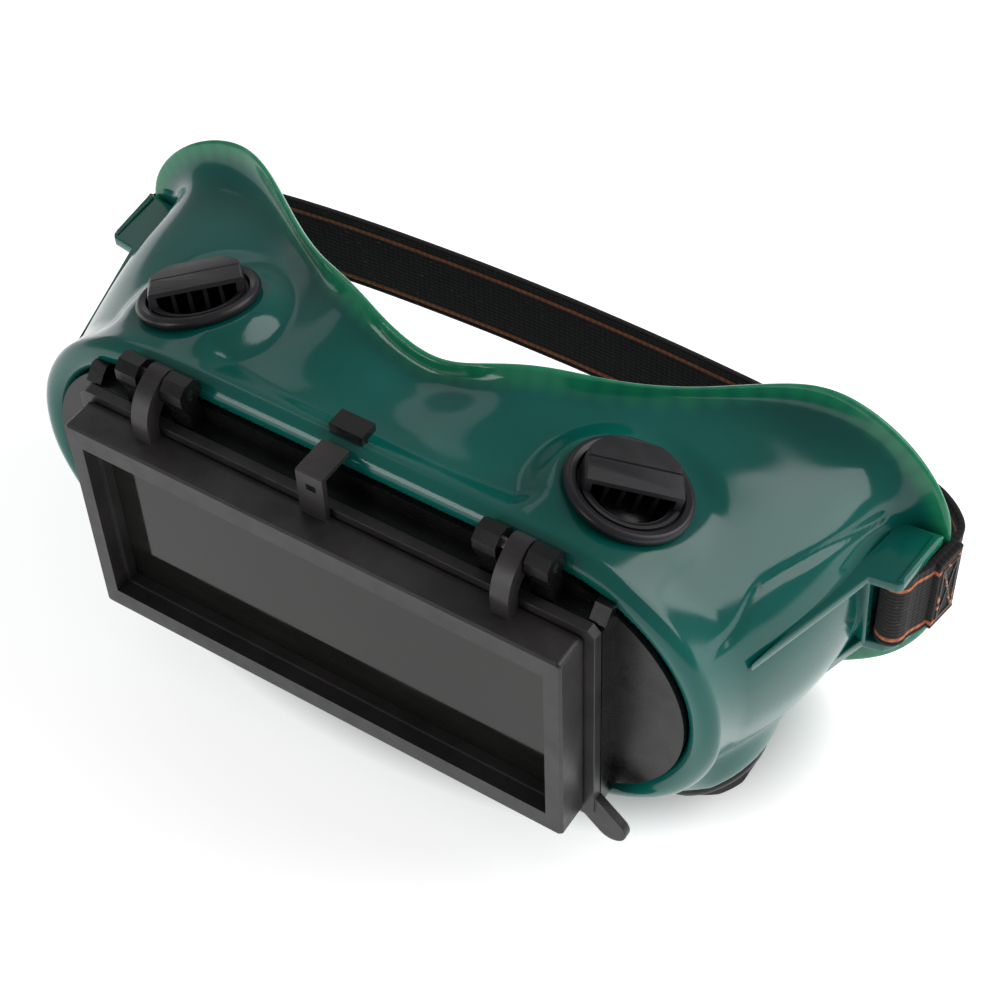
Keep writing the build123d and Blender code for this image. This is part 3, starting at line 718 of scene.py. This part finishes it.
# ---------------------------------------------------------------- headband
STRAP_H, STRAP_T = 20.0, 1.3
FLAP_H, FLAP_T = 19.2, 1.2                           # sewn end, a little narrower than the band
BAR_PLAY = 0.4
LOOP_R = BAR_R + BAR_PLAY + STRAP_T / 2
SEW_FROM, SEW_TO = np.array((97.7, 70.2)), np.array((98.9, 77.8))
SEW_RUN = (SEW_TO - SEW_FROM) / np.linalg.norm(SEW_TO - SEW_FROM)
SEW_OUT = np.array((SEW_RUN[1], -SEW_RUN[0]))
RISE = 3.4                                           # from the loop round the bar to the sewn end
TAIL_IN, TAIL_LONG = 0.2, 4.6                        # the tucked tail's end, from the loop's start
SWEEP_BACK = [(98.9, 77.8), (98.8, 80.4), (97.1, 83.4), (91.5, 87.6), (82, 90.6), (70, 92.7),
              (54, 94.4), (36, 95.6), (18, 96.35), (0, 96.6)]


def resample(path, step):
    """Points at even steps of length along a polyline, with the lengths."""
    path = np.asarray(path, float)
    length = np.concatenate([[0], np.cumsum(np.linalg.norm(np.diff(path, axis=0), axis=1))])
    where = np.linspace(0, length[-1], max(4, int(round(length[-1] / step)) + 1))
    return np.stack([np.interp(where, length, path[:, i]) for i in range(path.shape[1])], 1), where


def band_path():
    """Middle line of one side of the band in XY, from its tucked tail to the middle of the back."""
    tail = [(BAR_X - LOOP_R + TAIL_IN, BAR_Y + TAIL_LONG), (BAR_X - LOOP_R, BAR_Y)]
    loop = [(BAR_X + LOOP_R * math.cos(a), BAR_Y + LOOP_R * math.sin(a))
            for a in np.radians(np.linspace(180, 360, 25))]
    start = np.array(loop[-1])
    leave, arrive = start + (0, RISE / 2), SEW_FROM - SEW_RUN * RISE / 2
    rise = [(1 - t) ** 3 * start + 3 * (1 - t) ** 2 * t * leave + 3 * (1 - t) * t * t * arrive
            + t ** 3 * SEW_FROM for t in np.linspace(0, 1, 16)[1:]]
    back = along_spline(SWEEP_BACK, np.linspace(0, len(SWEEP_BACK) - 1, 240))
    return np.array(tail + loop[1:] + rise + list(back))


LEVELS = 81                                          # points up each face of a ribbon
ROW_DEEP, WALE_DEEP = 0.012, 0.03                    # mm that knit rows and wales stand proud
EDGE_PROUD, EDGE_CUT = 0.10, 0.30                    # mm put on at the corded edge, and off its rim
# Shares of the half height: the edge rises between the first two, and is cut from the third on.
EDGE_FROM, EDGE_FULL, CUT_FROM, WALES_TO = 0.88, 0.93, 0.97, 0.9


def ribbon(name, path, height, thick, mat, step=0.6):
    """Closed ribbon standing on a path in XY, knit and corded edge in its shape, with its map."""
    line, length = resample(path, step)
    tangent = np.gradient(line, axis=0)
    tangent /= np.linalg.norm(tangent, axis=1)[:, None]
    normal = np.stack([tangent[:, 1], -tangent[:, 0]], 1)
    levels = np.linspace(-1, 1, LEVELS)
    half = thick / 2
    knit = ROW_DEEP * np.sin(levels * height / 2 * 2 * math.pi / KNIT_ROW)
    edge = (EDGE_PROUD * smoothstep(np.abs(levels), EDGE_FROM, EDGE_FULL)
            - EDGE_CUT * smoothstep(np.abs(levels), CUT_FROM, 1.0))
    outer = [(v * height / 2, half + k + e, v) for v, k, e in zip(levels, knit, edge)]
    profile = outer + [(z, -off, v) for z, off, v in reversed(outer)]
    ripple = WALE_DEEP * np.sin(length * 2 * math.pi / KNIT_WALE)
    points, uv = [], []
    for i, (at, out) in enumerate(zip(line, normal)):
        for z, off, level in profile:
            off += math.copysign(ripple[i], off) if abs(level) < WALES_TO else 0.0
            points.append((at[0] + out[0] * off, at[1] + out[1] * off, z))
            uv.append((length[i] * MM, z * MM))
    cols = len(profile)
    faces = grid_faces(len(line), cols, False)
    last = (len(line) - 1) * cols
    faces += [tuple(range(cols)), tuple(reversed(range(last, last + cols)))]
    obj = make_mesh(name, points, faces, mat)
    layer = obj.data.uv_layers.new(name="strap")
    for loop in obj.data.loops:
        layer.data[loop.index].uv = uv[loop.vertex_index]
    face_outward(obj)
    return obj


half_path = band_path()
whole_path = np.concatenate([half_path, half_path[::-1][1:] * (-1, 1)])
band = ribbon("headband_knit", whole_path, STRAP_H, STRAP_T, ELASTIC)
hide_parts("headband")
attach(band, "mask")

flap_line = np.array([SEW_FROM, SEW_TO]) + SEW_OUT * (STRAP_T + FLAP_T) / 2
for side, label in zip(SIDES, ("left", "right")):
    flap = ribbon(f"band_end_{label}", flap_line * (side, 1), FLAP_H, FLAP_T, ELASTIC, 0.4)
    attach(flap, "mask")


# ---------------------------------------------------------------- CAD nodes that keep their shape
WELD_GAP = 0.00001                                   # m
FLAT_ANGLE, EDGE_ANGLE = 1.0, 28                     # degrees


def dress(node, mat, bevel, segments=2):
    """Material of a CAD node, and modifiers that weld it, merge flat faces and round its edges."""
    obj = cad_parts[node]
    obj.data.materials.clear()
    obj.data.materials.append(mat)
    obj.data.polygons.foreach_set("use_smooth", [True] * len(obj.data.polygons))
    obj.data.polygons.foreach_set("material_index", [0] * len(obj.data.polygons))
    if obj.data.has_custom_normals:
        obj.data.attributes.remove(obj.data.attributes["custom_normal"])
    weld = obj.modifiers.new("weld", "WELD")
    weld.merge_threshold = WELD_GAP
    flat = obj.modifiers.new("flat", "DECIMATE")
    flat.decimate_type, flat.angle_limit = "DISSOLVE", math.radians(FLAT_ANGLE)
    cut = obj.modifiers.new("bevel", "BEVEL")
    cut.width, cut.segments, cut.limit_method = bevel * MM, segments, "ANGLE"
    cut.angle_limit, cut.harden_normals = math.radians(EDGE_ANGLE), True
    cut.use_clamp_overlap = True


for node, mat, bevel in (
    ("lens_carrier", CARRIER_BLACK, 0.3), ("flip_bezel", FLIP_BLACK, 0.3),
    ("flip_back_plate", FLIP_BLACK, 0.3), ("clear_lens_retainer", CARRIER_BLACK, 0.25),
    ("shade_lens", SHADE, 0.2), ("clear_lens", CLEAR, 0.2),
    ("hinge_pin_left", STEEL, 0.15), ("hinge_pin_right", STEEL, 0.15),
    ("strap_stitch_left", THREAD, 0.1), ("strap_stitch_right", THREAD, 0.1),
):
    dress(node, mat, bevel)
for place in PLACES:
    for part in ("seat", "hood"):
        dress(f"vent_{part}_{place}", VENT_BLACK, 0.35, 3)


# ---------------------------------------------------------------- dark disc on each hood's plate, painted shade that keeps the vent bores black
SHADE_DISC_R, SHADE_DISC_LOW, SHADE_DISC_HIGH = 7.9, -3.18, -2.5    # heights are from the vent's centre
# Painted shade: a dark disc laid in each hood so its cavity shows black where there is only shade
for (centre, axis), place in zip(vent_frames(), PLACES):
    shade_disc = cylinder(f"vent_shade_disc_{place}", centre, axis, SHADE_DISC_R, SHADE_DISC_LOW, SHADE_DISC_HIGH,
                     VENT_BLACK)
    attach(shade_disc, f"hood_{place}")


# ---------------------------------------------------------------- floor, lights, finish
FLOOR_SIZE, FLOOR_GAP = 6000.0, 0.5                  # mm
AIM = (0, 50, 0)                                     # mm: the softboxes' distance is from here
WORLD_STRENGTH = 0.3


def floor(name, size, z, mat):
    half = size / 2
    obj = make_mesh(name, [(-half, -half, z), (half, -half, z), (half, half, z), (-half, half, z)],
                    [(0, 1, 2, 3)], mat)


def softbox(name, azimuth, elevation, distance, size, radiance):
    """Softbox in mm aimed at AIM; azimuth runs from straight behind toward +X."""
    data = bpy.data.lights.new(name, "AREA")
    data.shape = "RECTANGLE"
    data.size, data.size_y = size[0] * MM, size[1] * MM
    data.energy = radiance * math.pi * data.size * data.size_y
    a, e = math.radians(azimuth), math.radians(elevation)
    away = Vector((math.sin(a) * math.cos(e), math.cos(a) * math.cos(e), math.sin(e)))
    obj = bpy.data.objects.new(name, data)
    obj.rotation_euler = (-away).to_track_quat("-Z", "Y").to_euler()
    obj.location = (away * distance + Vector(AIM)) * MM
    bpy.context.scene.collection.objects.link(obj)


floor("floor", FLOOR_SIZE, CAD_BOX[0][2] / MM - FLOOR_GAP, floor_material())
# azimuth, elevation, distance, (width, height), radiance
softbox("key", 48, 35, 1050, (900, 750), 3.1)
softbox("front", -158, 12, 900, (300, 420), 4.2)
softbox("left", -56, 40, 1200, (700, 400), 0.6)

scene = bpy.context.scene
world = bpy.data.worlds.new("studio")
world.use_nodes = True
world.node_tree.nodes["Background"].inputs["Color"].default_value = (1, 1, 1, 1)
world.node_tree.nodes["Background"].inputs["Strength"].default_value = WORLD_STRENGTH
scene.world = world
scene.view_settings.view_transform = "Standard"
